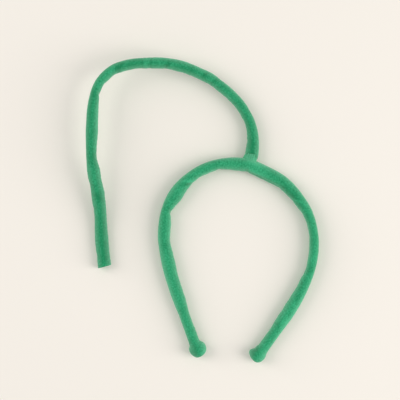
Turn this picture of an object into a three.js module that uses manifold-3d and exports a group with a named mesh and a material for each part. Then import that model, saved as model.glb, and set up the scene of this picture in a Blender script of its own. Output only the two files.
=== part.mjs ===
// Antenna headband: a springy hoop in a cloth sleeve, with one long bendable cloth antenna on its
// crown, lying down. Millimetres. +X is across the hoop, +Y runs from its tips to its crown, and
// +Z is up off the surface that it lies on. The origin is under the middle of the whole headband.
import * as THREE from "three";
import { mergeVertices } from "three/addons/utils/BufferGeometryUtils.js";
import Module from "manifold-3d";

// Hoop: the line that the hidden band follows, and the sleeve over it.
const HOOP_WIDTH = 120;
const HOOP_DROP = 152;
const SLEEVE_WIDTH = 9;
const SLEEVE_COVER = 4.1;
const SLEEVE_HEIGHT = 12;
const SLEEVE_END_HEIGHT = 8.6;

// Tips: rounded ends. On the outside each runs on from its leg, and inwards it swells into a ball,
// whose middle lies inwards of the leg's line by the lean.
const TIP_WIDTH = 12.9;
const TIP_HEIGHT = 12;
const TIP_LEAN = 1.5;
const TIP_SHOULDER = 6;
const TIP_BLEND = 0.8;
const TIP_POLE_DEGREES = 78;

// Antenna: how far it reaches left of its foot, how far its arch goes past the crown, how far its
// free leg comes back from there to the cut end, and how high the arch springs off the surface.
const ANTENNA_REACH = 126.5;
const ANTENNA_RISE = 80;
const ANTENNA_FALL = 161.8;
const ANTENNA_SPRING = 17.5;
const ANTENNA_WIDTH = 8.6;
const ANTENNA_COVER = 4.3;
const ANTENNA_HEIGHT = 8.4;
const ANTENNA_SEAT = 0.517;
const ANTENNA_SETTLE = 0.5;
const CUT_SLANT = 9;

// Neck: the cloth binding between the antenna's foot and the crown.
const NECK_LENGTH = 8.4;
const NECK_WIDTH = 9.8;
const NECK_FLARE = 1.3;
const NECK_HEIGHT = 9.2;

// Shared by all the cloth.
const GAP = 0.3;
const REST_PRESS = 0.5;
const CORNER_SOFTNESS = 2.2;
const SECTION_POWER = 2.3;
const STATION_STEP = 3.6;
const SLEEVE_SIDES = 20;
const ANTENNA_SIDES = 16;
const TIP_SIDES = 18;
const TIP_STEPS = 9;
const NECK_STEPS = 7;
const LINE_DIVISIONS = 600;
const MERGE_WITHIN = 1e-4;

// The hoop's line from the left tip over the crown to the right tip.
// across: share of half the hoop's width. down: share of the hoop's drop, from the crown.
const HOOP_LINE = [
  { across: -0.556, down: 0.985 },
  { across: -0.713, down: 0.81 },
  { across: -0.855, down: 0.66 },
  { across: -0.96, down: 0.51 },
  { across: -1.0, down: 0.37 },
  { across: -0.96, down: 0.25 },
  { across: -0.847, down: 0.157 },
  { across: -0.658, down: 0.082 },
  { across: -0.42, down: 0.027 },
  { across: -0.14, down: 0.002 },
  { across: 0.12, down: 0.006 },
  { across: 0.36, down: 0.0445 },
  { across: 0.6, down: 0.101 },
  { across: 0.8, down: 0.186 },
  { across: 0.94, down: 0.285 },
  { across: 1.005, down: 0.41 },
  { across: 0.978, down: 0.53 },
  { across: 0.864, down: 0.66 },
  { across: 0.702, down: 0.78 },
  { across: 0.482, down: 0.9 },
  { across: 0.279, down: 1.013 },
];

// Where the slack cloth on the hoop's inner side turns from one straight run to the next.
// along: share of the hoop's line. slack: how far in from that line, a share of the sleeve's width.
const SLEEVE_CORNERS = [
  { along: 0, slack: 0.5 },
  { along: 0.055, slack: 0.46 },
  { along: 0.167, slack: 0.66 },
  { along: 0.18, slack: 0.71 },
  { along: 0.226, slack: 0.57 },
  { along: 0.301, slack: 0.4 },
  { along: 0.334, slack: 0.83 },
  { along: 0.378, slack: 0.55 },
  { along: 0.403, slack: 0.45 },
  { along: 0.448, slack: 0.38 },
  { along: 0.506, slack: 0.66 },
  { along: 0.519, slack: 0.71 },
  { along: 0.594, slack: 0.54 },
  { along: 0.624, slack: 0.56 },
  { along: 0.673, slack: 0.39 },
  { along: 0.722, slack: 0.24 },
  { along: 0.76, slack: 0.29 },
  { along: 0.797, slack: 0.28 },
  { along: 0.81, slack: 0.38 },
  { along: 0.94, slack: 0.5 },
  { along: 1, slack: 0.55 },
];

// Dents and folds of the sleeve.
// turn: degrees round the section from its outer side over the top. depth, length and girth:
// shares of the sleeve's width. slant: degrees that the fold leans along the sleeve.
const SLEEVE_FOLDS = [
  { along: 0.085, turn: 60, depth: 0.05, length: 0.4, girth: 0.5, slant: 30 },
  { along: 0.232, turn: 130, depth: 0.08, length: 0.35, girth: 0.5, slant: 35 },
  { along: 0.298, turn: 140, depth: 0.11, length: 0.4, girth: 0.6, slant: -20 },
  { along: 0.385, turn: 115, depth: 0.1, length: 0.4, girth: 0.6, slant: 55 },
  { along: 0.555, turn: 140, depth: 0.09, length: 2.2, girth: 0.18, slant: 0 },
  { along: 0.64, turn: 125, depth: 0.06, length: 0.5, girth: 0.4, slant: 40 },
  { along: 0.81, turn: 120, depth: 0.1, length: 0.35, girth: 0.6, slant: 30 },
  { along: 0.9, turn: 70, depth: 0.05, length: 0.5, girth: 0.4, slant: -40 },
];

// The antenna's line from the crown up to the top of its arch.
// across: share of its reach. up: share of its rise over the crown.
const ANTENNA_RISING = [
  { across: 0, up: 0 },
  { across: -0.017, up: 0.163 },
  { across: -0.0095, up: 0.326 },
  { across: 0.036, up: 0.519 },
  { across: 0.132, up: 0.7 },
  { across: 0.251, up: 0.84 },
  { across: 0.392, up: 0.947 },
  { across: 0.53, up: 0.994 },
  { across: 0.64, up: 1 },
];

// Its line from there down to the cut end.
// down: share of its fall from the top of the arch.
const ANTENNA_FALLING = [
  { across: 0.77, down: 0.01 },
  { across: 0.865, down: 0.038 },
  { across: 0.935, down: 0.092 },
  { across: 0.98, down: 0.18 },
  { across: 1.0, down: 0.3 },
  { across: 1.0, down: 0.4 },
  { across: 0.995, down: 0.53 },
  { across: 0.969, down: 0.67 },
  { across: 0.957, down: 0.75 },
  { across: 0.953, down: 0.87 },
  { across: 0.935, down: 1 },
];

// Where along its line, as shares of it, the antenna leaves the crown's level, is at its full
// height, begins to come down, and lies on the surface again.
const ANTENNA_POISE = { leaves: 0.06, full: 0.6, falls: 0.65, lands: 0.94 };

// Where the cloth on the inner side of the antenna's arch turns from one run to the next.
// along: share of the antenna's line, from the crown. slack: a share of the antenna's width.
const ANTENNA_CORNERS = [
  { along: 0, slack: 0.74 },
  { along: 0.03, slack: 0.72 },
  { along: 0.06, slack: 0.58 },
  { along: 0.11, slack: 0.41 },
  { along: 0.19, slack: 0.34 },
  { along: 0.25, slack: 0.44 },
  { along: 0.32, slack: 0.47 },
  { along: 0.365, slack: 0.42 },
  { along: 0.44, slack: 0.42 },
  { along: 0.505, slack: 0.35 },
  { along: 0.54, slack: 0.29 },
  { along: 0.575, slack: 0.28 },
  { along: 0.665, slack: 0.57 },
  { along: 0.706, slack: 0.42 },
  { along: 0.735, slack: 0.41 },
  { along: 0.76, slack: 0.62 },
  { along: 0.78, slack: 0.59 },
  { along: 0.815, slack: 0.69 },
  { along: 0.845, slack: 0.65 },
  { along: 1, slack: 0.69 },
];

// Dents and folds of the antenna's cloth, as for the sleeve's but in shares of the antenna's width.
const ANTENNA_FOLDS = [
  { along: 0.05, turn: 90, depth: 0.06, length: 0.5, girth: 0.4, slant: 20 },
  { along: 0.27, turn: 100, depth: 0.06, length: 0.3, girth: 0.6, slant: 20 },
  { along: 0.31, turn: 95, depth: 0.06, length: 0.3, girth: 0.6, slant: -15 },
  { along: 0.42, turn: 90, depth: 0.07, length: 0.3, girth: 0.6, slant: 10 },
  { along: 0.55, turn: 120, depth: 0.09, length: 0.35, girth: 0.6, slant: 20 },
  { along: 0.733, turn: 125, depth: 0.1, length: 0.4, girth: 0.6, slant: -15 },
  { along: 0.87, turn: 80, depth: 0.06, length: 0.5, girth: 0.5, slant: 35 },
];

const clamp = THREE.MathUtils.clamp;
const smoothstep = THREE.MathUtils.smoothstep;
const lerp = THREE.MathUtils.lerp;

function curveThrough(points) {
  const curve = new THREE.CatmullRomCurve3(points);
  curve.arcLengthDivisions = LINE_DIVISIONS;
  return curve;
}

// A point of a flat curve, its direction of travel, and the direction to the left of it.
function frameAt(curve, share) {
  const t = clamp(share, 0, 1);
  const travel = curve.getTangentAt(t).normalize();
  return { point: curve.getPointAt(t), travel, left: new THREE.Vector3(-travel.y, travel.x, 0) };
}

// How far in from the line the slack side lies: on the straight run between the two corners beside
// it, averaged over a short stretch so that the corners are soft.
function slackSide(curve, side, corners, width) {
  const inward = (share) => frameAt(curve, share).left.multiplyScalar(-side);
  const marks = corners.map(({ along, slack }) =>
    frameAt(curve, along).point.addScaledVector(inward(along), slack * width),
  );
  const onChord = (share) => {
    const next = corners.findIndex((corner, i) => i > 0 && share <= corner.along);
    const from = marks[next - 1];
    const run = marks[next].clone().sub(from);
    const start = from.clone().sub(frameAt(curve, share).point);
    const way = inward(share);
    return (start.x * run.y - start.y * run.x) / (way.x * run.y - way.y * run.x);
  };
  const reach = CORNER_SOFTNESS / curve.getLength();
  const spread = [-1, -0.5, 0, 0.5, 1];
  return (share) =>
    spread.reduce((sum, s) => sum + onChord(clamp(share + s * reach, 0, 1)), 0) / spread.length;
}

// How deep the folds press the cloth in at one place: gone millimetres along a line of that length,
// and turned so many degrees round the section. Each fold is a bell-shaped dent.
function foldDepth(folds, gone, turn, width, length) {
  let depth = 0;
  for (const fold of folds) {
    const round = THREE.MathUtils.degToRad(turn - fold.turn) * (width / 2);
    const lean = round * Math.tan(THREE.MathUtils.degToRad(fold.slant));
    const along = (gone - fold.along * length - lean) / (fold.length * width);
    const across = round / (fold.girth * width);
    depth += fold.depth * width * Math.exp(-along * along - across * across);
  }
  return depth;
}

// One ring of a cloth tube: a rounded section from its outer side over the top, flat where it
// rests. swell makes it larger all round, for the clearance to a neighbour.
function sectionRing(frame, side, size, sides, swell) {
  const half = (size.outer + size.inner) / 2 + swell;
  const middle = (size.outer - size.inner) / 2;
  const rise = size.height / 2 + swell;
  const ring = [];
  for (let k = 0; k < sides; k++) {
    const angle = (2 * Math.PI * k) / sides;
    const rounded = (v) => Math.sign(v) * Math.abs(v) ** (2 / SECTION_POWER);
    const turn = THREE.MathUtils.radToDeg(side > 0 ? angle : Math.PI - angle);
    const press = 1 - size.dent((turn + 360) % 360) / half;
    const across = side * middle + half * rounded(Math.cos(angle)) * press;
    const up = size.lift + rise * rounded(Math.sin(angle)) * press;
    ring.push(
      frame.point
        .clone()
        .addScaledVector(frame.left, across)
        .addScaledVector(frame.travel, (size.slant ?? 0) * across)
        .setZ(Math.max(up, -swell)),
    );
  }
  return ring;
}

// A closed skin over a row of rings, each end closed by a fan round its middle.
function loft(rings) {
  const sides = rings[0].length;
  const points = rings.flat();
  const triangles = [];
  for (let i = 0; i + 1 < rings.length; i++) {
    for (let k = 0; k < sides; k++) {
      const a = i * sides + k;
      const b = i * sides + ((k + 1) % sides);
      triangles.push(a, b, a + sides, b, b + sides, a + sides);
    }
  }
  const last = (rings.length - 1) * sides;
  for (const [first, turned] of [[0, true], [last, false]]) {
    const ring = points.slice(first, first + sides);
    const middle = ring.reduce((sum, p) => sum.add(p), new THREE.Vector3()).divideScalar(sides);
    points.push(middle);
    for (let k = 0; k < sides; k++) {
      const pair = [first + k, first + ((k + 1) % sides)];
      triangles.push(points.length - 1, ...(turned ? pair.reverse() : pair));
    }
  }
  return new THREE.BufferGeometry().setFromPoints(points).setIndex(triangles);
}

// The rings of a cloth tube along a stretch of a curve.
function tubeRings(curve, stretch, side, sizeAt, sides, swell = 0) {
  const length = (stretch[1] - stretch[0]) * curve.getLength();
  const steps = Math.ceil(length / STATION_STEP);
  const rings = [];
  for (let i = 0; i <= steps; i++) {
    const share = lerp(stretch[0], stretch[1], i / steps);
    rings.push(sectionRing(frameAt(curve, share), side, sizeAt(share), sides, swell));
  }
  return rings;
}

// Hoop and its sleeve.
const hoop = curveThrough(
  HOOP_LINE.map(
    ({ across, down }) => new THREE.Vector3((across * HOOP_WIDTH) / 2, -down * HOOP_DROP, 0),
  ),
);
const hoopLength = hoop.getLength();
const hoopSide = 1;
const sleeveSlack = slackSide(hoop, hoopSide, SLEEVE_CORNERS, SLEEVE_WIDTH);

function sleeveSize(share) {
  const height = lerp(SLEEVE_END_HEIGHT, SLEEVE_HEIGHT, Math.sqrt(Math.sin(Math.PI * share)));
  return {
    outer: SLEEVE_COVER,
    inner: sleeveSlack(share),
    height,
    lift: height / 2 - REST_PRESS,
    dent: (turn) => foldDepth(SLEEVE_FOLDS, share * hoopLength, turn, SLEEVE_WIDTH, hoopLength),
  };
}

const sleeveStretch = [TIP_SHOULDER / hoopLength, 1 - TIP_SHOULDER / hoopLength];
function sleeveGeometry(swell) {
  return loft(tubeRings(hoop, sleeveStretch, hoopSide, sleeveSize, SLEEVE_SIDES, swell));
}

// The greater of two sizes, rounded over where they are alike.
function blendedMax(a, b) {
  return (a + b + Math.hypot(a - b, TIP_BLEND)) / 2;
}

// A rounded tip past one end of the sleeve: the leg's own section, which runs out towards the
// tip's pole, and the ball, each side as wide as the wider of the two.
function tipGeometry(share) {
  const end = frameAt(hoop, share);
  const leg = sleeveSize(clamp(share, ...sleeveStretch));
  const leaving = share === 0 ? -1 : 1;
  const radius = TIP_WIDTH / 2;
  const shoulder = Math.asin(-(TIP_SHOULDER - GAP) / radius);
  const pole = THREE.MathUtils.degToRad(TIP_POLE_DEGREES);
  const rings = [];
  for (let i = 0; i <= TIP_STEPS; i++) {
    const angle = lerp(shoulder, pole, i / TIP_STEPS);
    const ball = radius * Math.cos(angle);
    const runOut = Math.cos(Math.max(angle, 0));
    const height = blendedMax(TIP_HEIGHT * Math.cos(angle), leg.height * runOut);
    const point = end.point.clone().addScaledVector(end.travel, leaving * radius * Math.sin(angle));
    const size = {
      outer: blendedMax(ball - TIP_LEAN * runOut, leg.outer * runOut),
      inner: blendedMax(ball + TIP_LEAN * runOut, leg.inner * runOut),
      height,
      lift: lerp(leg.lift, TIP_HEIGHT / 2 - REST_PRESS, smoothstep(angle, shoulder, 0)),
      dent: () => 0,
    };
    rings.push(sectionRing({ ...end, point }, hoopSide, size, TIP_SIDES, 0));
  }
  return loft(leaving > 0 ? rings : rings.reverse());
}

// Antenna: its line starts on the hoop's, at the crown.
const seat = hoop.getPointAt(ANTENNA_SEAT);
const archTop = seat.y + ANTENNA_RISE;
const antenna = curveThrough([
  ...ANTENNA_RISING.map(
    ({ across, up }) =>
      new THREE.Vector3(seat.x - across * ANTENNA_REACH, seat.y + up * ANTENNA_RISE, 0),
  ),
  ...ANTENNA_FALLING.map(
    ({ across, down }) =>
      new THREE.Vector3(seat.x - across * ANTENNA_REACH, archTop - down * ANTENNA_FALL, 0),
  ),
]);
const antennaLength = antenna.getLength();
const antennaSide = -1;
const antennaSlack = slackSide(antenna, antennaSide, ANTENNA_CORNERS, ANTENNA_WIDTH);
const crownLift = sleeveSize(ANTENNA_SEAT).lift;

// It leaves the crown at half the sleeve's height, springs clear of the surface and comes down to
// rest near the cut end.
function antennaLift(share) {
  const { leaves, full, falls, lands } = ANTENNA_POISE;
  const resting = ANTENNA_HEIGHT / 2 - REST_PRESS;
  const spring = smoothstep(share, leaves, full) - smoothstep(share, falls, lands);
  return lerp(crownLift, resting, smoothstep(share, 0, ANTENNA_SETTLE)) + ANTENNA_SPRING * spring;
}

function antennaSize(share) {
  const square = smoothstep(share, 1 - ANTENNA_WIDTH / antennaLength, 1);
  return {
    outer: ANTENNA_COVER,
    inner: antennaSlack(share),
    height: ANTENNA_HEIGHT,
    lift: antennaLift(share),
    slant: -square * Math.tan(THREE.MathUtils.degToRad(CUT_SLANT)),
    dent: (turn) =>
      foldDepth(ANTENNA_FOLDS, share * antennaLength, turn, ANTENNA_WIDTH, antennaLength),
  };
}

const antennaStretch = [(NECK_LENGTH + GAP) / antennaLength, 1];
function antennaGeometry() {
  return loft(tubeRings(antenna, antennaStretch, antennaSide, antennaSize, ANTENNA_SIDES));
}

// Neck: a short tube from the hoop's line to the antenna's foot, whose left side flares towards the
// crown, less the sleeve and its clearance, so that its lower face sits all over the sleeve.
const wasm = await Module();
wasm.setup();

function solidOf(geometry) {
  const merged = mergeVertices(geometry, MERGE_WITHIN);
  return new wasm.Manifold(
    new wasm.Mesh({
      numProp: 3,
      vertProperties: merged.attributes.position.array,
      triVerts: new Uint32Array(merged.index.array),
    }),
  );
}

function neckGeometry() {
  const sizeAt = (share) => {
    const flare = NECK_FLARE * (1 - smoothstep(share * antennaLength, SLEEVE_COVER, NECK_LENGTH));
    const middle = (ANTENNA_COVER - antennaSlack(share)) / 2;
    return {
      outer: NECK_WIDTH / 2 + middle,
      inner: NECK_WIDTH / 2 - middle + flare,
      height: NECK_HEIGHT,
      lift: crownLift,
      dent: () => 0,
    };
  };
  const rings = [];
  for (let i = 0; i <= NECK_STEPS; i++) {
    const share = ((i / NECK_STEPS) * NECK_LENGTH) / antennaLength;
    rings.push(
      sectionRing(frameAt(antenna, share), antennaSide, sizeAt(share), ANTENNA_SIDES, 0),
    );
  }
  const cut = solidOf(loft(rings)).subtract(solidOf(sleeveGeometry(GAP))).getMesh();
  return new THREE.BufferGeometry()
    .setAttribute("position", new THREE.BufferAttribute(cut.vertProperties, 3))
    .setIndex(new THREE.BufferAttribute(cut.triVerts, 1));
}

const greenPile = { color: 0x3f9d70, roughness: 0.95, metalness: 0 };
const paleBinding = { color: 0x58ad86, roughness: 0.9, metalness: 0 };
const pieces = {
  band_sleeve: [sleeveGeometry(0), greenPile],
  left_tip: [tipGeometry(0), greenPile],
  right_tip: [tipGeometry(1), greenPile],
  antenna_sleeve: [antennaGeometry(), greenPile],
  antenna_neck: [neckGeometry(), paleBinding],
};

const headband = new THREE.Group();
for (const [name, [geometry, finish]] of Object.entries(pieces)) {
  geometry.computeVertexNormals();
  const mesh = new THREE.Mesh(geometry, new THREE.MeshStandardMaterial(finish));
  mesh.name = name;
  headband.add(mesh);
}
const box = new THREE.Box3().setFromObject(headband, true);
const centre = box.getCenter(new THREE.Vector3());
headband.position.set(-centre.x, -centre.y, -box.min.z);

export default headband;
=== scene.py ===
import bpy
import numpy as np
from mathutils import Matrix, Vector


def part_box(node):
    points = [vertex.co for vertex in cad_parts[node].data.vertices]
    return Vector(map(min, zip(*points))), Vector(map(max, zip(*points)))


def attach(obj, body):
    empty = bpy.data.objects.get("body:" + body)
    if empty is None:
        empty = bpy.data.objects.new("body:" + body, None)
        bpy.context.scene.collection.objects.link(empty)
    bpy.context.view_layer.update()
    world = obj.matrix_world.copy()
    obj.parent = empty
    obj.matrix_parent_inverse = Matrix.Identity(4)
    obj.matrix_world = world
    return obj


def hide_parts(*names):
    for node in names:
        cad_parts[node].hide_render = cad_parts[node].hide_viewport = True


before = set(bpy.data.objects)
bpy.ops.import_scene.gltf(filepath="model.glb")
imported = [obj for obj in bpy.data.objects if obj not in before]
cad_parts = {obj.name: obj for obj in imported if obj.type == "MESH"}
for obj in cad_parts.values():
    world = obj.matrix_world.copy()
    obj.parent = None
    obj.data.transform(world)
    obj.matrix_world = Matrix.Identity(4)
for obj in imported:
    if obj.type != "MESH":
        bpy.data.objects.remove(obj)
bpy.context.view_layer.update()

# Copy stand. The headband lies on a plain pale sheet, and the camera looks straight down on it.
# A tall soft box stands on each side, the right one brighter, in a pale room.
CAMERA_OVER = (-0.00245, 0.00872, 1.006)
CAMERA_LENS = 112.5
SHEET_SIZE = 6.0
SHEET_BELOW = 0.00004
SHEET_COLOUR = (0.885, 0.837, 0.772, 1)
SOFT_BOX_WIDTH = 1.3
SOFT_BOX_HEIGHT = 1.7
SOFT_BOXES = {
    "right_soft_box": ((1.69, -0.3, 1.03), 27.5),
    "left_soft_box": ((-1.66, 0.44, 1.03), 18.5),
}
SOFT_BOX_COLOUR = (1.0, 0.985, 0.955)
SKY_COLOUR = (0.985, 0.99, 1.0, 1)
SKY_STRENGTH = 0.55

scene = bpy.context.scene
camera = bpy.data.objects.new("copy_camera", bpy.data.cameras.new("copy_camera"))
camera.location = CAMERA_OVER
camera.data.lens = CAMERA_LENS
camera.data.clip_start = 0.01
scene.collection.objects.link(camera)
scene.camera = camera
scene.view_settings.view_transform = "Standard"

for name, (stand, power) in SOFT_BOXES.items():
    soft_box = bpy.data.objects.new(name, bpy.data.lights.new(name, "AREA"))
    soft_box.data.shape = "RECTANGLE"
    soft_box.data.size = SOFT_BOX_WIDTH
    soft_box.data.size_y = SOFT_BOX_HEIGHT
    soft_box.data.energy = power
    soft_box.data.color = SOFT_BOX_COLOUR
    soft_box.location = stand
    soft_box.rotation_euler = soft_box.location.to_track_quat("Z", "Y").to_euler()
    scene.collection.objects.link(soft_box)

scene.world = bpy.data.worlds.new("pale_room")
scene.world.use_nodes = True
sky = scene.world.node_tree.nodes["Background"]
sky.inputs["Color"].default_value = SKY_COLOUR
sky.inputs["Strength"].default_value = SKY_STRENGTH


class Wire:
    """One output of a material's nodes. Operators between wires and numbers add Math nodes."""

    def __init__(self, tree, socket=None):
        self.tree = tree
        self.socket = socket

    def node(self, kind, settings, inputs, output=0):
        """Add a node: first its settings, then the values or links of its sockets."""
        made = self.tree.nodes.new(kind)
        for name, value in settings.items():
            setattr(made, name, value)
        for name, value in inputs.items():
            if isinstance(value, Wire):
                self.tree.links.new(value.socket, made.inputs[name])
            else:
                made.inputs[name].default_value = value
        return Wire(self.tree, made.outputs[output]) if made.outputs else None

    def maths(self, operation, first, second, clamp=False):
        """A Math node of two values. A clamped one keeps its result between 0 and 1."""
        settings = {"operation": operation, "use_clamp": clamp}
        return self.node("ShaderNodeMath", settings, {0: first, 1: second})

    def mix(self, share, first, second):
        """A colour that goes from the first to the second as the share goes from 0 to 1."""
        settings = {"data_type": "RGBA"}
        return self.node("ShaderNodeMix", settings, {0: share, 6: first, 7: second}, 2)

    def held(self):
        """This value kept between 0 and 1."""
        return self.maths("MULTIPLY", self, 1.0, clamp=True)

    def __add__(self, other):
        return self.maths("ADD", self, other)

    def __sub__(self, other):
        return self.maths("SUBTRACT", self, other)

    def __rsub__(self, other):
        return self.maths("SUBTRACT", other, self)

    def __mul__(self, other):
        return self.maths("MULTIPLY", self, other)

    __radd__ = __add__
    __rmul__ = __mul__


def new_material(name):
    """An empty node material and the wire that its first nodes are added with."""
    material = bpy.data.materials.new(name)
    material.use_nodes = True
    material.node_tree.nodes.clear()
    return material, Wire(material.node_tree)


paper, wire = new_material("pale_sheet")
grain = wire.node("ShaderNodeTexNoise", {}, {"Scale": 400.0, "Detail": 2.0})
surface = wire.node(
    "ShaderNodeBsdfPrincipled",
    {},
    {
        "Base Color": SHEET_COLOUR,
        "Roughness": 0.95,
        "Specular IOR Level": 0.1,
        "Normal": wire.node("ShaderNodeBump", {}, {"Strength": 0.05, "Height": grain}),
    },
)
wire.node("ShaderNodeOutputMaterial", {}, {"Surface": surface})

half_sheet = SHEET_SIZE / 2
sheet_mesh = bpy.data.meshes.new("pale_sheet")
sheet_mesh.from_pydata(
    [
        (-half_sheet, -half_sheet, -SHEET_BELOW),
        (half_sheet, -half_sheet, -SHEET_BELOW),
        (half_sheet, half_sheet, -SHEET_BELOW),
        (-half_sheet, half_sheet, -SHEET_BELOW),
    ],
    [],
    [(0, 1, 2, 3)],
)
sheet_mesh.materials.append(paper)
pale_sheet = bpy.data.objects.new("pale_sheet", sheet_mesh)
scene.collection.objects.link(pale_sheet)

# Band sleeve. A springy hoop for the head, hidden in a sleeve of short-pile cloth. The cloth is
# taut over the outside of the hoop. Inside it is slack and lies in straight runs, with a soft
# corner between two runs.
HOOP_WIDTH = 0.120
HOOP_DROP = 0.152
SLEEVE_WIDTH = 0.009
SLEEVE_COVER = 0.0041
SLEEVE_HEIGHT = 0.012
SLEEVE_END_HEIGHT = 0.0086
SLEEVE_RINGS = 860
SLEEVE_SIDES = 96
TIP_SHOULDER = 0.006
REST_PRESS = 0.0005
LINE_STEPS = 300
CORNER_SOFTNESS = 0.0014
CORNER_SAMPLES = 9
SECTION_POWER = 2.3
END_RING_LEAST = 0.02
TINY = 1e-12
TAUT_SHARE = 0.35
SLEEVE_SEED = 7

# Small waves of the cloth: their depth, how many they are, the shortest and the longest, and the
# most turns that one makes round the section.
SLEEVE_LONG_WAVES = (0.00009, 40, 0.006, 0.03, 3)
SLEEVE_SHORT_WAVES = (0.00005, 60, 0.0022, 0.005, 9)

# Painted shade in the folds: where the cloth is pressed in it is painted darker, and where it
# stands out paler, as painted light: how much for a metre, and the least and the greatest press that
# count.
PRESS_PAINTED_SHADE = 900
PRESS_LEAST = -0.0003
PRESS_MOST = 0.0006

# The pile's colours and the scales of its patterns. It goes from dark to light by a middle value
# and by so much of each pattern, and along the sides towards a pale colour by two shares: a painted
# sheen.
PILE_DARK = (0.008, 0.228, 0.090, 1)
PILE_LIGHT = (0.050, 0.468, 0.226, 1)
PILE_PAINTED_SHEEN = (0.35, 0.62, 0.47, 1)
PATCH_SCALE = 90.0
PILE_MOTTLE_SCALE = 780.0
PILE_FIBRE_SCALE = 1500.0
FIBRE_COMBING = (1.0, 2.6, 1.0)
PILE_LIGHTNESS = 0.58
PILE_BY_NAP_AND_SHADING = 0.42
PILE_BY_PATCHES = 0.4
PILE_BY_MOTTLE = 2.2
PILE_BY_FIBRES = 1.3
PAINTED_SHEEN_LEAST = 0.07
PAINTED_SHEEN_BY_FIBRES = 0.44

# The hoop's line from the left tip over the crown to the right tip: across, as a share of half
# the hoop's width, and down, as a share of its drop from the crown.
HOOP_LINE = [
    (-0.556, 0.985), (-0.713, 0.81), (-0.855, 0.66), (-0.96, 0.51), (-1.0, 0.37), (-0.96, 0.25),
    (-0.847, 0.157), (-0.658, 0.082), (-0.42, 0.027), (-0.14, 0.002), (0.12, 0.006), (0.36, 0.0445),
    (0.6, 0.101), (0.8, 0.186), (0.94, 0.285), (1.005, 0.41), (0.978, 0.53), (0.864, 0.66),
    (0.702, 0.78), (0.482, 0.9), (0.279, 1.013),
]

# Corners of the slack cloth: place along the line, and how far in it lies from the line, both as
# shares, the second of the sleeve's width.
SLEEVE_CORNERS = [
    (0, 0.53), (0.05, 0.47), (0.075, 0.45), (0.11, 0.64), (0.14, 0.64), (0.167, 0.67),
    (0.18, 0.73), (0.226, 0.58), (0.25, 0.6), (0.268, 0.66), (0.298, 0.4), (0.334, 0.84),
    (0.354, 0.745), (0.378, 0.56), (0.392, 0.49), (0.405, 0.485), (0.448, 0.43), (0.47, 0.61),
    (0.49, 0.74), (0.511, 0.68), (0.528, 0.8), (0.555, 0.785), (0.594, 0.63), (0.612, 0.67),
    (0.63, 0.58), (0.673, 0.41), (0.695, 0.335), (0.722, 0.325), (0.76, 0.36), (0.797, 0.345),
    (0.812, 0.45), (0.845, 0.575), (0.875, 0.68), (0.893, 0.67), (0.912, 0.68), (0.94, 0.53),
    (1, 0.55),
]

# Folds pressed into the sleeve: place along the line, turn round the section in degrees from its
# outer side over the top, depth, length, girth, and lean in degrees. A ridge has a depth below 0,
# and the rows with a turn of 0 are slow swells and hollows of the outer side.
SLEEVE_FOLDS = [
    (0.085, 60, 0.05, 0.4, 0.5, 30), (0.155, 95, 0.03, 0.7, 0.2, -50),
    (0.205, 120, 0.04, 0.5, 0.2, 40), (0.232, 130, 0.06, 0.35, 0.5, 35),
    (0.2986, 146, 0.1, 0.16, 0.55, -25), (0.306, 128, -0.04, 0.2, 0.4, -30),
    (0.372, 122, 0.09, 0.22, 0.35, 52), (0.3805, 126, -0.06, 0.16, 0.4, 52),
    (0.392, 120, 0.05, 0.16, 0.4, 48), (0.436, 150, 0.05, 0.9, 0.14, 0),
    (0.512, 138, 0.04, 0.25, 0.4, 30), (0.552, 143, 0.075, 1.5, 0.09, -4),
    (0.545, 126, -0.045, 1.2, 0.11, -4), (0.575, 118, -0.03, 0.9, 0.14, -6),
    (0.603, 145, 0.06, 0.2, 0.4, 30), (0.6305, 150, 0.06, 0.2, 0.5, 35),
    (0.659, 140, 0.06, 0.25, 0.5, 40), (0.69, 125, 0.03, 0.5, 0.2, 50),
    (0.74, 100, 0.03, 0.9, 0.16, 20), (0.8, 130, 0.06, 0.18, 0.6, 30),
    (0.83, 115, 0.04, 0.4, 0.25, 55), (0.86, 90, 0.05, 0.45, 0.2, -55),
    (0.9, 75, 0.05, 0.45, 0.22, -50), (0.93, 100, 0.04, 0.4, 0.25, -50),
    (0.962, 70, 0.05, 0.35, 0.25, -45), (0.12, 0, -0.04, 2.6, 0.35, 0),
    (0.19, 0, -0.025, 1.5, 0.35, 0), (0.245, 0, -0.035, 0.9, 0.35, 0), (0.3, 0, 0.022, 0.9, 0.35, 0),
    (0.595, 0, -0.035, 1.6, 0.35, 0), (0.67, 0, -0.025, 1.8, 0.35, 0),
]
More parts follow.
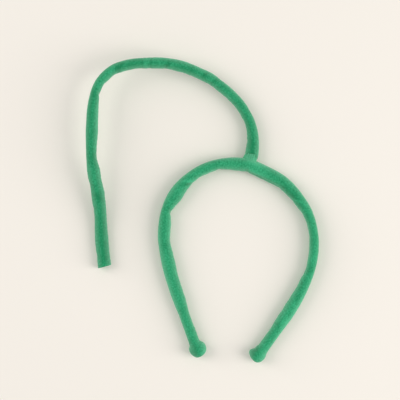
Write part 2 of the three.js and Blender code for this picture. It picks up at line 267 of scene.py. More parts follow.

# How the pile lies in places, with painted shade in the folds, painted light on their ridges and
# painted sheen along the sides among the rows. A row goes as a fold's does, with its lightness
# in place of the depth: above 0 the cloth is painted lighter there, and below 0 darker.
SLEEVE_NAP_AND_SHADING = [
    (0.02, 60, -0.5, 0.8, 0.5, 0), (0.125, 30, 0.9, 4.5, 0.16, 0), (0.12, 110, -0.25, 4.0, 0.3, 0),
    (0.26, 152, 1.1, 1.5, 0.14, 0), (0.25, 85, -0.4, 2.0, 0.25, 0), (0.33, 100, -0.35, 1.6, 0.4, 0),
    (0.372, 118, -0.6, 0.2, 0.35, 50), (0.3815, 122, 1.0, 0.2, 0.4, 50),
    (0.42, 154, 1.0, 1.1, 0.13, 0), (0.44, 95, -0.3, 1.5, 0.3, 0), (0.46, 20, 0.7, 2.0, 0.12, 0),
    (0.497, 75, -0.35, 0.6, 0.35, 0), (0.533, 62, 0.6, 0.5, 0.3, 0), (0.528, 124, 1.0, 0.75, 0.12, 0),
    (0.552, 104, 0.5, 0.35, 0.14, 0), (0.552, 146, -0.8, 1.6, 0.1, -4), (0.62, 120, -0.5, 1.0, 0.4, 0),
    (0.518, 38, 0.9, 0.55, 0.35, 0), (0.6, 115, -0.65, 3.2, 0.55, 0),
    (0.7, 110, -0.3, 2.5, 0.3, 0), (0.68, 25, 0.6, 3.5, 0.13, 0), (0.765, 150, 0.5, 1.0, 0.15, 0),
    (0.79, 95, -0.3, 0.5, 0.35, 20), (0.84, 105, -0.4, 1.5, 0.3, 0), (0.9, 36, 1.4, 3.2, 0.26, 0),
    (0.95, 110, -0.4, 1.4, 0.3, 0), (0.536, 120, 1.1, 0.14, 0.26, -65),
    (0.53, 134, -1.1, 0.14, 0.24, -65), (0.517, 150, -0.8, 0.6, 0.1, 0),
    (0.636, 100, -0.9, 0.12, 0.25, -60), (0.648, 95, 0.7, 0.12, 0.25, -60),
]


def smoothstep(value, low, high):
    """0 below low and 1 above high, with the cubic between that is level at both ends."""
    share = np.clip((value - low) / (high - low), 0, 1)
    return share * share * (3 - 2 * share)


def line_through(points):
    """A smooth flat line through points, read by shares of its own length.

    Between two points it is a cubic. Its slope at each point weighs the two chords beside the
    point by the square roots of their lengths, and past each end the last point is mirrored. The
    line gives the place, the direction of travel and the direction to the left of it."""
    ends = np.vstack([2 * points[0] - points[1], points, 2 * points[-1] - points[-2]])
    gap = np.sqrt(np.linalg.norm(np.diff(ends, axis=0), axis=1))[:, None]
    before, start, stop, after = ends[:-3], ends[1:-2], ends[2:-1], ends[3:]
    gap_before, gap_here, gap_after = gap[:-2], gap[1:-1], gap[2:]
    middle = (stop - start) / gap_here
    slope_start = (start - before) / gap_before - (stop - before) / (gap_before + gap_here)
    slope_stop = (after - stop) / gap_after - (after - start) / (gap_here + gap_after)
    slope_start = gap_here * (slope_start + middle)
    slope_stop = gap_here * (slope_stop + middle)
    t = np.linspace(0, 1, LINE_STEPS, endpoint=False)[:, None]
    square = 3 * (stop - start) - 2 * slope_start - slope_stop
    cube = 2 * (start - stop) + slope_start + slope_stop
    pieces = [s + b * t + c * t**2 + d * t**3 for s, b, c, d in zip(start, slope_start, square, cube)]
    path = np.vstack([*pieces, points[-1:]])
    gone = np.append(0, np.cumsum(np.linalg.norm(np.diff(path, axis=0), axis=1)))
    slope = np.gradient(path, gone, axis=0)

    def at(share):
        place = np.clip(share, 0, 1) * gone[-1]
        point = np.stack([np.interp(place, gone, path[:, k]) for k in (0, 1)], axis=-1)
        travel = np.stack([np.interp(place, gone, slope[:, k]) for k in (0, 1)], axis=-1)
        travel /= np.linalg.norm(travel, axis=-1, keepdims=True)
        left = np.stack([-travel[..., 1], travel[..., 0]], axis=-1)
        return point, travel, left

    return at, gone[-1]


def slack_side(at, length, side, corners, width):
    """How far in from the line the slack cloth lies, at shares of the line's length.

    It is the distance to the straight run between the two corners beside each place, averaged
    over a short stretch, so that the corners are soft."""
    along, slack = np.array(corners).T
    point, _, left = at(along)
    marks = point - side * left * slack[:, None] * width

    def inner(share):
        spread = np.linspace(-1, 1, CORNER_SAMPLES) * CORNER_SOFTNESS / length
        places = np.clip(share[:, None] + spread, 0, 1)
        run_of = np.clip(np.searchsorted(along, places) - 1, 0, len(along) - 2)
        here, _, way = at(places)
        way = -side * way
        run = marks[run_of + 1] - marks[run_of]
        start = marks[run_of] - here
        cross = start[..., 0] * run[..., 1] - start[..., 1] * run[..., 0]
        return (cross / (way[..., 0] * run[..., 1] - way[..., 1] * run[..., 0])).mean(axis=1)

    return inner


def turns_round(sides):
    """Even turns round a section, in degrees from its outer side."""
    return np.arange(sides) * 360 / sides


def box_reach(cos, sin, half, rise):
    """How far the edge of a rounded box lies from its middle, towards that cosine and sine. On
    the edge the shares of the half-width and of the half-height, each to the section power, add
    up to one."""
    shares = (abs(cos) / half) ** SECTION_POWER + (abs(sin) / rise) ** SECTION_POWER
    return shares ** (-1 / SECTION_POWER)


def tube_grid(frame_here, side, turned, outer, inner, height, lift, slant):
    """Rings of a cloth tube. Each is a rounded box that starts at the outer side and goes over
    the top. The outer side is on the line's left where side is 1 and on its right where it is -1.

    A ring's half-width is the mean of outer and inner, and it stands off the line by half their
    difference. A slant moves each point along the line by that share of its distance across."""
    point, travel, left = frame_here
    half = ((outer + inner) / 2)[:, None]
    rise = (height / 2)[:, None]
    cos, sin = np.cos(np.radians(turned)), np.sin(np.radians(turned))
    reach = box_reach(cos, sin, half, rise)
    across = side * ((outer - inner)[:, None] / 2 + reach * cos)
    up = lift[:, None] + reach * sin
    flat = point[:, None] + left[:, None] * across[..., None]
    flat = flat + travel[:, None] * (slant[:, None] * across)[..., None]
    return np.dstack([flat, up])


def bells(gone, turned, marks, width):
    """Sum of soft bell-shaped marks on a tube: depth times e to the minus squared distance.

    A mark gives its place gone along the line, its turn round the section in degrees, its depth,
    its length and its girth as shares of the tube's width, and how far it leans, in degrees."""
    total = np.zeros((len(gone), len(turned)))
    for place, turn, depth, length, girth, lean in marks:
        off = (turned - turn + 180) % 360 - 180
        round_by = np.radians(off) * width / 2
        along = (gone[:, None] - place - round_by * np.tan(np.radians(lean))) / (length * width)
        total += depth * np.exp(-(along**2) - (round_by / (girth * width)) ** 2)
    return total


def unevenness(gone, turned, waves, seed):
    """Small waves over a tube, from a seeded list: each is a cosine of the distance gone and of a
    whole number of turns round the section, so that it closes. Their sum is divided by the root
    of their number, so that its size hardly depends on how many they are."""
    depth, count, shortest, longest, most_round = waves
    dice = np.random.default_rng(seed)
    total = np.zeros((len(gone), len(turned)))
    for _ in range(count):
        wavelength = np.exp(dice.uniform(np.log(shortest), np.log(longest)))
        rounds = dice.integers(-most_round, most_round + 1)
        phase = 2 * np.pi * (gone / wavelength + dice.uniform())
        total += np.cos(phase[:, None] + rounds * np.radians(turned))
    return depth * (total / np.sqrt(count))


def cloth_press(gone, turned, folds, width, long_waves, short_waves, seed):
    """How deep a sleeve's cloth is pressed in: by its folds, and by small waves that grow from
    the taut outer side to the slack inner one with the squared sine of half the turn."""
    press = width * bells(gone, turned, folds, width)
    waves = unevenness(gone, turned, long_waves, seed)
    waves += unevenness(gone, turned, short_waves, seed + 1)
    return press + waves * (TAUT_SHARE + (1 - TAUT_SHARE) * np.sin(np.radians(turned / 2)) ** 2)


def painted_fold_shade(press):
    """How much darker the cloth is painted where it is pressed in, as painted shade, and paler where it
    stands out.
    """
    return PRESS_PAINTED_SHADE * np.clip(press, PRESS_LEAST, PRESS_MOST)


def outward(grid, side):
    """Unit directions out of a tube, from the steps round each ring and from ring to ring. Side is
    as in tube_grid, and is turned over where the rings run back along the line."""
    around = np.roll(grid, -1, axis=1) - np.roll(grid, 1, axis=1)
    out = side * np.cross(around, np.gradient(grid, axis=0))
    return out / np.maximum(np.linalg.norm(out, axis=2, keepdims=True), TINY)


def rest_on_sheet(grid):
    """The same grid with no point below the sheet that it lies on."""
    grid[..., 2] = np.maximum(grid[..., 2], 0)
    return grid


def closed_tube(name, grid, side, gone, nap_and_shading, material):
    """A closed mesh of rings, each end closed by a fan round its middle. Side is as in outward.

    The cloth's own map is in metres, along and around. Its nap says how the pile lies, from dark
    to light, with painted shade and painted light in it. Its side_on says how near a place is to
    either side of the section, where the pile is painted paler as a painted sheen: it is the squared
    cosine of the turn."""
    rings, sides = grid.shape[:2]
    points = np.vstack([grid.reshape(-1, 3), grid[0].mean(axis=0), grid[-1].mean(axis=0)])
    ring, spoke = np.meshgrid(np.arange(rings - 1), np.arange(sides), indexing="ij")
    beside = (spoke + 1) % sides
    quads = np.dstack(
        [ring * sides + spoke, ring * sides + beside, (ring + 1) * sides + beside,
         (ring + 1) * sides + spoke]
    ).reshape(-1, 4)
    rim = np.arange(sides)
    rim_next = (rim + 1) % sides
    low = np.stack([np.full(sides, rings * sides), rim_next, rim], axis=1)
    high_rim = (rings - 1) * sides
    high = np.stack([np.full(sides, rings * sides + 1), high_rim + rim, high_rim + rim_next], axis=1)
    girth = np.linalg.norm(np.diff(grid, axis=1, append=grid[:, :1]), axis=2).sum(axis=1).mean()
    quad_u = np.stack([gone[ring], gone[ring], gone[ring + 1], gone[ring + 1]], axis=-1)
    quad_v = np.stack([spoke, spoke + 1, spoke + 1, spoke], axis=-1) * girth / sides
    fan_v = np.stack([rim + 0.5, rim + 1, rim], axis=1) * girth / sides
    low_map = np.dstack([np.full((sides, 3), gone[0]), fan_v])
    high_map = np.dstack([np.full((sides, 3), gone[-1]), fan_v[:, [0, 2, 1]]])
    maps = [np.stack([quad_u, quad_v], axis=-1).reshape(-1, 4, 2), low_map, high_map]
    faces = [quads, low, high]
    if side < 0:
        faces = [part[:, ::-1] for part in faces]
        maps = [part[:, ::-1] for part in maps]
    mesh = bpy.data.meshes.new(name)
    mesh.from_pydata(points, [], [corner for part in faces for corner in part.tolist()])
    cloth_map = mesh.uv_layers.new(name="cloth_map")
    cloth_map.data.foreach_set("uv", np.concatenate([part.ravel() for part in maps]))
    nap_and_shading_layer = mesh.attributes.new("nap_and_shading", "FLOAT", "POINT")
    nap_and_shading_layer.data.foreach_set("value", np.concatenate([nap_and_shading.ravel(), [nap_and_shading[0].mean(), nap_and_shading[-1].mean()]]))
    side_on = np.tile(np.cos(2 * np.pi * rim / sides) ** 2, rings)
    sheen_side_layer = mesh.attributes.new("side_on", "FLOAT", "POINT")
    sheen_side_layer.data.foreach_set("value", np.append(side_on, [side_on.mean(), side_on.mean()]))
    smooth = np.ones(len(mesh.polygons), dtype=bool)
    smooth[len(quads):] = False
    mesh.polygons.foreach_set("use_smooth", smooth)
    mesh.materials.append(material)
    made = bpy.data.objects.new(name, mesh)
    scene.collection.objects.link(made)
    return made


def cloth_patterns(wire, mottle_scale, fibre_scale):
    """What both cloths have: their own map, the lie of the pile with painted shade and light in it, a
    fine mottle, and fibres that are drawn out along the tube. A noise goes from 0 to 1 about its middle
    at a half."""
    place = wire.node("ShaderNodeUVMap", {"uv_map": "cloth_map"}, {})
    nap_and_shading = wire.node("ShaderNodeAttribute", {"attribute_name": "nap_and_shading"}, {}, "Fac")
    combed = wire.node("ShaderNodeMapping", {}, {"Vector": place, "Scale": FIBRE_COMBING})
    mottle, fibres = [
        wire.node("ShaderNodeTexNoise", {}, {"Vector": vector, "Scale": scale, "Detail": 3.0})
        for vector, scale in ((place, mottle_scale), (combed, fibre_scale))
    ]
    return place, nap_and_shading, mottle, fibres


pile_cloth, wire = new_material("green_pile_cloth")
place, nap_and_shading, mottle, fibres = cloth_patterns(wire, PILE_MOTTLE_SCALE, PILE_FIBRE_SCALE)
side_on = wire.node("ShaderNodeAttribute", {"attribute_name": "side_on"}, {}, "Fac")
patches = wire.node(
    "ShaderNodeTexNoise", {}, {"Vector": place, "Scale": PATCH_SCALE, "Detail": 3.0}
)
# The nap's share brings in the painted shade and painted light of the folds, ridges and sides.
light_share = PILE_LIGHTNESS + nap_and_shading * PILE_BY_NAP_AND_SHADING + (patches - 0.5) * PILE_BY_PATCHES
light_share = light_share + (mottle - 0.5) * PILE_BY_MOTTLE + (fibres - 0.5) * PILE_BY_FIBRES
pile_colour = wire.mix(light_share.held(), PILE_DARK, PILE_LIGHT)
# Painted sheen: towards the sides of each section the colour is painted paler.
painted_sheen_share = (side_on * (PAINTED_SHEEN_LEAST + fibres * PAINTED_SHEEN_BY_FIBRES)).held()
height = mottle * 0.5 + fibres * 0.5
surface = wire.node(
    "ShaderNodeBsdfPrincipled",
    {},
    {
        "Base Color": wire.mix(painted_sheen_share, pile_colour, PILE_PAINTED_SHEEN),
        "Roughness": 0.92,
        "Specular IOR Level": 0.2,
        "Sheen Weight": 0.7,
        "Sheen Roughness": 0.4,
        "Sheen Tint": (0.4, 0.88, 0.62, 1),
        "Normal": wire.node(
            "ShaderNodeBump", {}, {"Strength": 0.8, "Distance": 0.0009, "Height": height}
        ),
    },
)
wire.node("ShaderNodeOutputMaterial", {}, {"Surface": surface})

half_hoop = np.array([HOOP_WIDTH / 2, -HOOP_DROP])
hoop_at, hoop_length = line_through(np.array(HOOP_LINE) * half_hoop)
sleeve_slack = slack_side(hoop_at, hoop_length, 1, SLEEVE_CORNERS, SLEEVE_WIDTH)


def sleeve_height(share):
    """The sleeve's height: it grows towards the crown with the square root of the sine of half a
    turn from tip to tip."""
    return SLEEVE_END_HEIGHT + (SLEEVE_HEIGHT - SLEEVE_END_HEIGHT) * np.sqrt(np.sin(np.pi * share))


def placed(marks, length):
    """A table of marks with each place as a distance along a line of that length."""
    return [(along * length, *rest) for along, *rest in marks]


def end_rings(ring, way, steps):
    """Rings that close a tube's end: each is the last ring drawn in towards its middle by one
    distance and moved along the way out by another."""
    middle = ring.mean(axis=0)
    spokes = ring - middle
    reach = np.linalg.norm(spokes, axis=1, keepdims=True)
    rings = [
        middle + spokes * np.maximum(1 - inwards / reach, END_RING_LEAST) + np.array(way) * outwards
        for inwards, outwards in steps
    ]
    return np.stack(rings)


stretch = TIP_SHOULDER / hoop_length
share = np.linspace(stretch, 1 - stretch, SLEEVE_RINGS)
gone = share * hoop_length
turned = turns_round(SLEEVE_SIDES)
standing = sleeve_height(share)
sleeve = tube_grid(
    hoop_at(share), 1, turned, np.full(SLEEVE_RINGS, SLEEVE_COVER), sleeve_slack(share), standing,
    standing / 2 - REST_PRESS, np.zeros(SLEEVE_RINGS),
)
shift = np.array(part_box("band_sleeve")[1])[:2] - sleeve[..., :2].max(axis=(0, 1))
sleeve[..., :2] += shift
press = cloth_press(
    gone, turned, placed(SLEEVE_FOLDS, hoop_length), SLEEVE_WIDTH, SLEEVE_LONG_WAVES,
    SLEEVE_SHORT_WAVES, SLEEVE_SEED,
)
from_end = np.minimum(gone - gone[0], gone[-1] - gone)
press *= smoothstep(from_end, 0, TIP_SHOULDER)[:, None]
sleeve -= outward(sleeve, 1) * press[..., None]
# Painted shade and light: the sleeve's nap is painted darker in its folds and where it is pressed in,
# and lighter on ridges and along the sides.
sleeve_nap_and_shading = bells(gone, turned, placed(SLEEVE_NAP_AND_SHADING, hoop_length), SLEEVE_WIDTH) - painted_fold_shade(press)
band = closed_tube("band_sleeve_cloth", rest_on_sheet(sleeve), 1, gone, sleeve_nap_and_shading, pile_cloth)
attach(band, "root")
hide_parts("band_sleeve")

# Tips. A small ball caps each end of the hidden band, set inwards of the leg, and the same cloth
# is drawn over it. So the outer side runs straight on from the leg, and the inner side swells.
TIP_WIDTH = 0.0129
TIP_HEIGHT = 0.012
TIP_LEAN = 0.0015
TIP_BLEND = 0.0008
TIP_GAP = 0.00002
TIP_LAST_RING = 88
TIP_RINGS = 72
TIP_SIDES = 96
TIP_WAVES = (0.00012, 30, 0.004, 0.02, 4)
LEFT_TIP_SEED = 21
RIGHT_TIP_SEED = 22

# The cloth is gathered at the shoulder into small even ridges, whose places sway a few times
# round the section, by an angle in degrees.
GATHERS = 11
GATHER_DEPTH = 0.00014
GATHER_LENGTH = 0.0018
GATHER_SWAYS = 3
GATHER_SWAY = 40

# The tips' folds and nap, given as the sleeve's are, but with each place as a distance past the
# middle of the ball. The nap is painted light: each ball is painted darker on one side and lighter
# on the other.
LEFT_TIP_FOLDS = [
    (0.0, 110, 0.05, 0.25, 0.3, 30), (0.003, 60, 0.03, 0.3, 0.2, -30),
    (-0.002, 0, -0.065, 0.35, 0.4, 0),
]
LEFT_TIP_PAINTED_LIGHT = [(0.0, 45, -1.1, 0.5, 0.35, 0), (0.001, 140, 0.6, 0.45, 0.25, 0)]
RIGHT_TIP_FOLDS = [
    (0.0, 95, 0.04, 0.25, 0.3, -30), (0.003, 140, 0.03, 0.3, 0.2, 30),
    (-0.0035, 180, 0.15, 0.25, 0.5, 0), (0.002, 180, -0.05, 0.3, 0.4, 0),
]
RIGHT_TIP_PAINTED_LIGHT = [(0.0, 140, -1.2, 0.45, 0.35, 0), (0.001, 45, 0.7, 0.45, 0.3, 0)]


def blended_max(first, second):
    """The greater of two sizes, rounded over where they are alike: half their sum, plus half the
    root of the sum of their difference squared and the blend squared."""
    return (first + second + np.hypot(first - second, TIP_BLEND)) / 2


def tip_piece(name, node, share, folds, painted_light_marks, seed):
    """A rounded tip past one end of the sleeve. Its rings go from the sleeve's end over the ball
    by an angle, whose sine moves them along the line. Each side is the blended greater of the
    ball's cosine, leaning inwards, and the leg's own section, which runs out by the cosine."""
    point, travel, left = hoop_at(np.array([share]))
    leaving = -1 if share == 0 else 1
    radius = TIP_WIDTH / 2
    shoulder = -np.arcsin((TIP_SHOULDER - TIP_GAP) / radius)
    angle = np.linspace(shoulder, np.radians(TIP_LAST_RING), TIP_RINGS)
    gone = radius * np.sin(angle)
    point = point + travel * leaving * gone[:, None]
    end = np.clip(np.array([share]), stretch, 1 - stretch)
    leg_height = sleeve_height(end)
    run_out = np.cos(np.maximum(angle, 0))
    ball = radius * np.cos(angle)
    leg_lift = leg_height / 2 - REST_PRESS
    turned = turns_round(TIP_SIDES)
    rings = tube_grid(
        (point, np.repeat(travel, TIP_RINGS, 0), np.repeat(left, TIP_RINGS, 0)), 1, turned,
        blended_max(ball - TIP_LEAN * run_out, SLEEVE_COVER * run_out),
        blended_max(ball + TIP_LEAN * run_out, sleeve_slack(end) * run_out),
        blended_max(TIP_HEIGHT * np.cos(angle), leg_height * run_out),
        leg_lift + (TIP_HEIGHT / 2 - REST_PRESS - leg_lift) * smoothstep(angle, shoulder, 0),
        np.zeros(TIP_RINGS),
    )
    rings[..., :2] += shift
    press = TIP_WIDTH * bells(gone, turned, folds, TIP_WIDTH)
    press += unevenness(gone, turned, TIP_WAVES, seed)
    sway = GATHER_SWAY * np.sin(np.radians(turned * GATHER_SWAYS + seed))
    gathers = np.cos(np.radians(turned * GATHERS + sway))
    from_shoulder = (gone[:, None] + TIP_SHOULDER / 2) / GATHER_LENGTH
    press += GATHER_DEPTH * gathers * np.exp(-(from_shoulder**2))
    press *= np.cos(angle)[:, None] * smoothstep(gone, -TIP_SHOULDER, -TIP_SHOULDER / 2)[:, None]
    rings -= outward(rings, leaving) * press[..., None]
    # Painted shade and light: one side of the ball is painted darker and the other lighter, and its
    # folds darker.
    nap_and_shading = bells(gone, turned, painted_light_marks, TIP_WIDTH) - painted_fold_shade(press)
    tip = closed_tube(name, rest_on_sheet(rings), leaving, gone, nap_and_shading, pile_cloth)
    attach(tip, "root")
    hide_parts(node)


tip_piece("left_tip_cloth", "left_tip", 0, LEFT_TIP_FOLDS, LEFT_TIP_PAINTED_LIGHT, LEFT_TIP_SEED)
tip_piece("right_tip_cloth", "right_tip", 1, RIGHT_TIP_FOLDS, RIGHT_TIP_PAINTED_LIGHT, RIGHT_TIP_SEED)

# Antenna sleeve. A long narrow tube of the same cloth over a core that keeps the bend it is given.
# It stands on the crown, arches over to the left and comes down to a plain cut end. Its outer
# side is taut, and the inside of the arch is slack, as on the band.
ANTENNA_REACH = 0.1265
ANTENNA_RISE = 0.080
ANTENNA_FALL = 0.1618
ANTENNA_SPRING = 0.0175
ANTENNA_WIDTH = 0.0086
ANTENNA_COVER = 0.0043
ANTENNA_HEIGHT = 0.0084
CUT_SLANT = 9
ANTENNA_RINGS = 740
ANTENNA_SIDES = 80
ANTENNA_SEED = 31
ANTENNA_LONG_WAVES = (0.00008, 40, 0.006, 0.03, 3)
ANTENNA_SHORT_WAVES = (0.00005, 60, 0.0022, 0.005, 8)
ANTENNA_DARKER = 0.57
NECK_LENGTH = 0.0084
NECK_GAP = 0.0003
HEM_RIGHT = 0.0034
HEM_LEFT = 0.0016
HEM_FADE = 0.009

# Where it sits, as a share of the hoop's line. Then shares of its own line: where it has come
# down to its own height, and where its arch leaves that height, is full, falls and lands.
ANTENNA_SEAT = 0.517
ANTENNA_SETTLE = 0.5
SPRING_LEAVES = 0.06
SPRING_FULL = 0.6
SPRING_FALLS = 0.65
SPRING_LANDS = 0.94

# The rings that roll the hem in at the foot and turn the cut end in over its core: how far each
# is drawn in towards the middle, and how far it moves out along the line.
HEM_ROLL = [(0.0015, 0.0), (0.0006, 0.0), (0.00015, 0.0)]
CUT_EDGE = [
    (0.0001, 0.00015), (0.0004, 0.0002), (0.001, 0.0001), (0.0013, -0.0004), (0.0024, -0.0006),
]

# The antenna's line up to the top of its arch: across, as a share of its reach, and up, as a
# share of its rise over the crown.
ANTENNA_RISING = [
    (0, 0), (-0.017, 0.163), (-0.0095, 0.326), (0.036, 0.519), (0.132, 0.7), (0.251, 0.84),
    (0.392, 0.947), (0.53, 0.994), (0.64, 1),
]

# From there on: across, and down from the top of the arch, as a share of its fall.
ANTENNA_FALLING = [
    (0.77, 0.01), (0.865, 0.038), (0.935, 0.092), (0.98, 0.18), (1.0, 0.3), (1.0, 0.4),
    (0.995, 0.53), (0.969, 0.67), (0.957, 0.75), (0.953, 0.87), (0.935, 1),
]

# Its corners, folds and nap, given as the band sleeve's are. Its nap too holds painted shade at
# the folds, painted light on their ridges and painted sheen along the sides.
ANTENNA_CORNERS = [
    (0, 0.74), (0.03, 0.75), (0.06, 0.58), (0.09, 0.47), (0.11, 0.45), (0.14, 0.46),
    (0.165, 0.45), (0.19, 0.465), (0.215, 0.5),
    (0.232, 0.43), (0.25, 0.44), (0.285, 0.485), (0.32, 0.48), (0.365, 0.42), (0.44, 0.43),
    (0.472, 0.46), (0.505, 0.38), (0.543, 0.3), (0.57, 0.29), (0.62, 0.565), (0.665, 0.655),
    (0.706, 0.475), (0.735, 0.485), (0.757, 0.71), (0.782, 0.69), (0.815, 0.78), (0.845, 0.72),
    (0.89, 0.65), (0.93, 0.745), (0.965, 0.73), (1, 0.75),
]
ANTENNA_FOLDS = [
    (0.05, 90, 0.05, 0.5, 0.4, 20), (0.1, 120, 0.03, 0.8, 0.15, 15), (0.16, 80, 0.03, 0.6, 0.15, -30),
    (0.242, 98, 0.08, 0.14, 0.5, 25), (0.25, 92, -0.03, 0.2, 0.4, 25),
    (0.27, 80, 0.08, 0.14, 0.5, 15), (0.305, 95, 0.05, 0.16, 0.6, -15),
    (0.366, 112, 0.09, 0.14, 0.5, 20), (0.4047, 90, 0.045, 0.07, 0.9, 6),
    (0.413, 95, 0.03, 0.07, 0.9, -4), (0.4263, 90, 0.045, 0.07, 0.9, 5),
    (0.487, 104, 0.09, 0.2, 0.5, 30), (0.5, 90, -0.03, 0.4, 0.5, 30),
    (0.535, 60, 0.04, 0.7, 0.15, 30), (0.566, 122, 0.12, 0.16, 0.6, 25),
    (0.6, 70, 0.03, 1.2, 0.14, 8), (0.65, 110, 0.03, 1.4, 0.13, -6),
    (0.728, 130, 0.09, 0.3, 0.5, -20), (0.745, 90, 0.05, 0.16, 0.6, 20),
    (0.793, 12, 0.07, 0.45, 0.45, 0), (0.828, 98, 0.08, 0.3, 0.4, 30), (0.853, 35, 0.05, 0.2, 0.5, 0),
    (0.9, 80, 0.04, 1.0, 0.15, 6), (0.95, 40, 0.02, 0.14, 0.5, 0), (0.97, 100, 0.03, 0.6, 0.2, -10),
    (0.258, 0, -0.095, 0.7, 0.35, 0), (0.34, 0, -0.075, 1.4, 0.35, 0), (0.395, 0, -0.035, 1.0, 0.35, 0),
    (0.56, 0, -0.04, 0.9, 0.35, 0), (0.81, 0, 0.045, 0.5, 0.4, 0), (0.13, 0, 0.045, 0.5, 0.4, 0),
    (0.65, 0, 0.035, 0.9, 0.35, 0), (0.87, 0, 0.035, 0.6, 0.35, 0), (0.97, 0, 0.05, 0.3, 0.4, 0),
]
ANTENNA_NAP_AND_SHADING = [
    (0.0285, 90, -1.6, 0.09, 0.6, 0), (0.036, 96, -1.2, 0.14, 0.4, 40),
    (0.05, 110, -0.9, 0.5, 0.3, 20), (0.1, 130, -0.5, 1.8, 0.3, 0), (0.16, 22, 0.8, 4.0, 0.16, 0),
    (0.222, 98, -0.6, 0.13, 0.3, 30), (0.242, 98, -0.5, 0.12, 0.3, 30),
    (0.268, 75, -0.5, 0.14, 0.3, 20), (0.31, 110, -0.4, 1.2, 0.25, 0),
    (0.362, 112, -0.7, 0.12, 0.3, 30), (0.371, 104, -0.5, 0.1, 0.3, 30), (0.34, 22, 0.6, 2.5, 0.14, 0),
    (0.405, 90, -0.6, 0.08, 0.6, 6), (0.4263, 90, -0.6, 0.08, 0.6, 5), (0.416, 90, 0.4, 0.3, 0.8, 0),
    (0.45, 100, -0.4, 1.0, 0.3, 0), (0.48, 104, -1.0, 0.13, 0.35, 38),
    (0.492, 100, -1.0, 0.12, 0.3, 38), (0.525, 95, 0.5, 1.2, 0.6, 0),
    (0.565, 120, 0.7, 0.25, 0.5, 30), (0.575, 90, -0.5, 0.35, 0.5, 20),
    (0.64, 152, 1.0, 2.4, 0.16, 0), (0.63, 62, -0.3, 2.2, 0.22, 0), (0.72, 90, -0.4, 0.6, 0.5, 0),
    (0.76, 60, 0.3, 1.0, 0.2, 0), (0.828, 100, -0.6, 0.5, 0.4, 30), (0.89, 150, 0.5, 2.0, 0.18, 0),
    (0.93, 80, -0.4, 1.2, 0.3, 0), (0.98, 100, -0.4, 0.4, 0.5, 0),
    (0.915, 135, -0.8, 2.8, 0.35, 0),
]

seat = hoop_at(np.array([ANTENNA_SEAT]))[0][0]
rising = np.array(ANTENNA_RISING) * [-ANTENNA_REACH, ANTENNA_RISE]
falling = np.array(ANTENNA_FALLING) * [-ANTENNA_REACH, -ANTENNA_FALL] + [0, ANTENNA_RISE]
antenna_at, antenna_length = line_through(seat + np.vstack([rising, falling]))
antenna_slack = slack_side(antenna_at, antenna_length, -1, ANTENNA_CORNERS, ANTENNA_WIDTH)
seat_height = sleeve_height(ANTENNA_SEAT)
crown_lift = seat_height / 2 - REST_PRESS

share = np.linspace((NECK_LENGTH + NECK_GAP) / antenna_length, 1, ANTENNA_RINGS)
gone = share * antenna_length
turned = turns_round(ANTENNA_SIDES)
resting = ANTENNA_HEIGHT / 2 - REST_PRESS
lift = crown_lift + (resting - crown_lift) * smoothstep(share, 0, ANTENNA_SETTLE)
spring = smoothstep(share, SPRING_LEAVES, SPRING_FULL)
lift += ANTENNA_SPRING * (spring - smoothstep(share, SPRING_FALLS, SPRING_LANDS))
near_cut = smoothstep(share, 1 - ANTENNA_WIDTH / antenna_length, 1)
tube = tube_grid(
    antenna_at(share), -1, turned, np.full(ANTENNA_RINGS, ANTENNA_COVER), antenna_slack(share),
    np.full(ANTENNA_RINGS, ANTENNA_HEIGHT), lift, -near_cut * np.tan(np.radians(CUT_SLANT)),
)
tube[..., :2] += shift
press = cloth_press(
    gone, turned, placed(ANTENNA_FOLDS, antenna_length), ANTENNA_WIDTH, ANTENNA_LONG_WAVES,
    ANTENNA_SHORT_WAVES, ANTENNA_SEED,
)
tube -= outward(tube, -1) * press[..., None]

# The hem is drawn down over the neck on its two sides, and further on the right.
cos = np.cos(np.radians(turned))
hem = np.where(cos > 0, HEM_RIGHT, HEM_LEFT) * cos**2
_, travel, _ = antenna_at(share)
drawn_down = hem * (1 - smoothstep(gone, gone[0], gone[0] + HEM_FADE))[:, None]
tube[..., :2] -= travel[:, None] * drawn_down[..., None]
# Painted shade and light: the antenna's nap is painted darker in its folds and where it is pressed in,
# and lighter on ridges and along the sides.
antenna_nap_and_shading = bells(gone, turned, placed(ANTENNA_NAP_AND_SHADING, antenna_length), ANTENNA_WIDTH)
antenna_nap_and_shading -= ANTENNA_DARKER
antenna_nap_and_shading -= painted_fold_shade(press)
first = end_rings(tube[0], (*-travel[0], 0), HEM_ROLL)
last = end_rings(tube[-1], (*travel[-1], 0), CUT_EDGE)
tube = rest_on_sheet(np.concatenate([first, tube, last]))
gone = np.pad(gone, (len(first), len(last)), mode="edge")
antenna_nap_and_shading = np.pad(antenna_nap_and_shading, ((len(first), len(last)), (0, 0)), mode="edge")
antenna = closed_tube("antenna_sleeve_cloth", tube, -1, gone, antenna_nap_and_shading, pile_cloth)
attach(antenna, "root")
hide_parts("antenna_sleeve")

# Neck. Thin cloth is gathered in pleats round the antenna's foot, flares to the left over the
# crown and is pressed flat, so it is paler than the pile. Its lower face follows the side of the
# sleeve and is bedded a little into it.
NECK_WIDTH = 0.0098
NECK_FLARE = 0.0013
NECK_HEIGHT = 0.0092
NECK_BEDDED = 0.0004
NECK_PLEATS = 14
NECK_PLEAT_DEPTH = 0.00026
NECK_PLEAT_SWAYS = 3
NECK_PLEAT_SWAY = 2
NECK_WAVES = (0.0001, 30, 0.002, 0.01, 6)
NECK_SEED = 51
NECK_ROLL = [(0.0002, 0.0), (0.0007, 0.0), (0.002, -0.0001)]
NECK_RINGS = 44
NECK_FACE_RINGS = 12
NECK_FACE_MIDDLE = 0.04
NECK_FACE_EDGE = 0.999
NECK_SIDES = 96
NECK_NAP = 0.1
BINDING_DARK = (0.030, 0.270, 0.125, 1)
BINDING_LIGHT = (0.110, 0.500, 0.275, 1)
BINDING_MOTTLE_SCALE = 1100.0
BINDING_FIBRE_SCALE = 1900.0
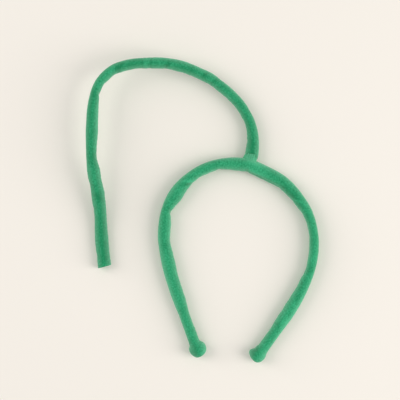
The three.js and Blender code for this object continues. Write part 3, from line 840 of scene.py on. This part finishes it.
BINDING_LIGHTNESS = 0.55
BINDING_BY_NAP_AND_SHADING = 0.8
BINDING_BY_MOTTLE = 0.9
BINDING_BY_FIBRES = 1.2

binding_cloth, wire = new_material("pale_binding_cloth")
_, nap_and_shading, mottle, fibres = cloth_patterns(wire, BINDING_MOTTLE_SCALE, BINDING_FIBRE_SCALE)
light_share = BINDING_LIGHTNESS + nap_and_shading * BINDING_BY_NAP_AND_SHADING + (mottle - 0.5) * BINDING_BY_MOTTLE
light_share = light_share + (fibres - 0.5) * BINDING_BY_FIBRES
surface = wire.node(
    "ShaderNodeBsdfPrincipled",
    {},
    {
        "Base Color": wire.mix(light_share.held(), BINDING_DARK, BINDING_LIGHT),
        "Roughness": 0.88,
        "Specular IOR Level": 0.2,
        "Sheen Weight": 0.25,
        "Sheen Roughness": 0.5,
        "Sheen Tint": (0.55, 0.95, 0.72, 1),
        "Normal": wire.node(
            "ShaderNodeBump",
            {},
            {"Strength": 0.7, "Distance": 0.0007, "Height": mottle * 0.4 + fibres * 0.6},
        ),
    },
)
wire.node("ShaderNodeOutputMaterial", {}, {"Surface": surface})

turned = turns_round(NECK_SIDES)
turns = np.radians(turned)
cos, sin = np.cos(turns), np.sin(turns)
grown = np.linspace(NECK_FACE_MIDDLE, 1, NECK_FACE_RINGS)
grown = np.concatenate([grown, np.ones(NECK_RINGS)])
climb = np.concatenate([np.zeros(NECK_FACE_RINGS), np.linspace(0, 1, NECK_RINGS + 1)[1:]])


def neck_section(gone, grown):
    """Offset, half-width and half-height of the neck at a distance gone: its left side flares
    towards the crown by a cubic step, and it follows the antenna's slack side."""
    flare = NECK_FLARE * (1 - smoothstep(gone, SLEEVE_COVER, NECK_LENGTH))
    middle = (ANTENNA_COVER - antenna_slack(gone / antenna_length) - flare) / 2
    half = (NECK_WIDTH / 2 + flare / 2) * grown
    return middle, half, NECK_HEIGHT / 2 * grown


# Every spoke starts at the sleeve's outer face, which is a rounded box's side at that height. The
# height's share is kept a little under one, where that side has closed.
_, half, rise = neck_section(np.full(len(grown), SLEEVE_COVER), grown)
reach = box_reach(cos, sin, half[:, None], rise[:, None])
height_share = np.clip(abs(reach * sin) / (seat_height / 2), 0, NECK_FACE_EDGE)
cover_half = (SLEEVE_COVER + sleeve_slack(np.array([ANTENNA_SEAT]))[0]) / 2
face = (1 - height_share**SECTION_POWER) ** (1 / SECTION_POWER)
face = SLEEVE_COVER - cover_half + cover_half * face - NECK_BEDDED
distance = face + (NECK_LENGTH - face) * climb[:, None]
point, travel, left = antenna_at(distance / antenna_length)
middle, half, rise = [
    part.reshape(distance.shape)
    for part in neck_section(distance.ravel(), np.repeat(grown, NECK_SIDES))
]
reach = box_reach(cos, sin, half, rise)
across = -(middle + reach * cos)
neck = np.dstack([point + left * across[..., None] + shift, crown_lift + reach * sin])
pleats = np.cos(turns * NECK_PLEATS + NECK_PLEAT_SWAY * np.cos(turns * NECK_PLEAT_SWAYS))
press = -NECK_PLEAT_DEPTH * (pleats * np.sqrt(climb[:, None])) * (grown[:, None] == 1)
press += unevenness(distance.mean(axis=1), turned, NECK_WAVES, NECK_SEED)
neck -= outward(neck, -1) * press[..., None] * grown[:, None, None]
_, travel, _ = antenna_at(np.array([NECK_LENGTH / antenna_length]))
top = end_rings(neck[-1], (*travel[0], 0), NECK_ROLL)
neck = rest_on_sheet(np.concatenate([neck, top]))
gone = np.append(distance.mean(axis=1), np.full(len(top), NECK_LENGTH))
# Painted shade: the neck is painted darker in the hollows of its pleats and lighter on their crests.
neck_nap_and_shading = np.pad(NECK_NAP - painted_fold_shade(press), ((0, len(top)), (0, 0)), mode="edge")
foot = closed_tube("antenna_neck_cloth", neck, -1, gone, neck_nap_and_shading, binding_cloth)
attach(foot, "root")
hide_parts("antenna_neck")
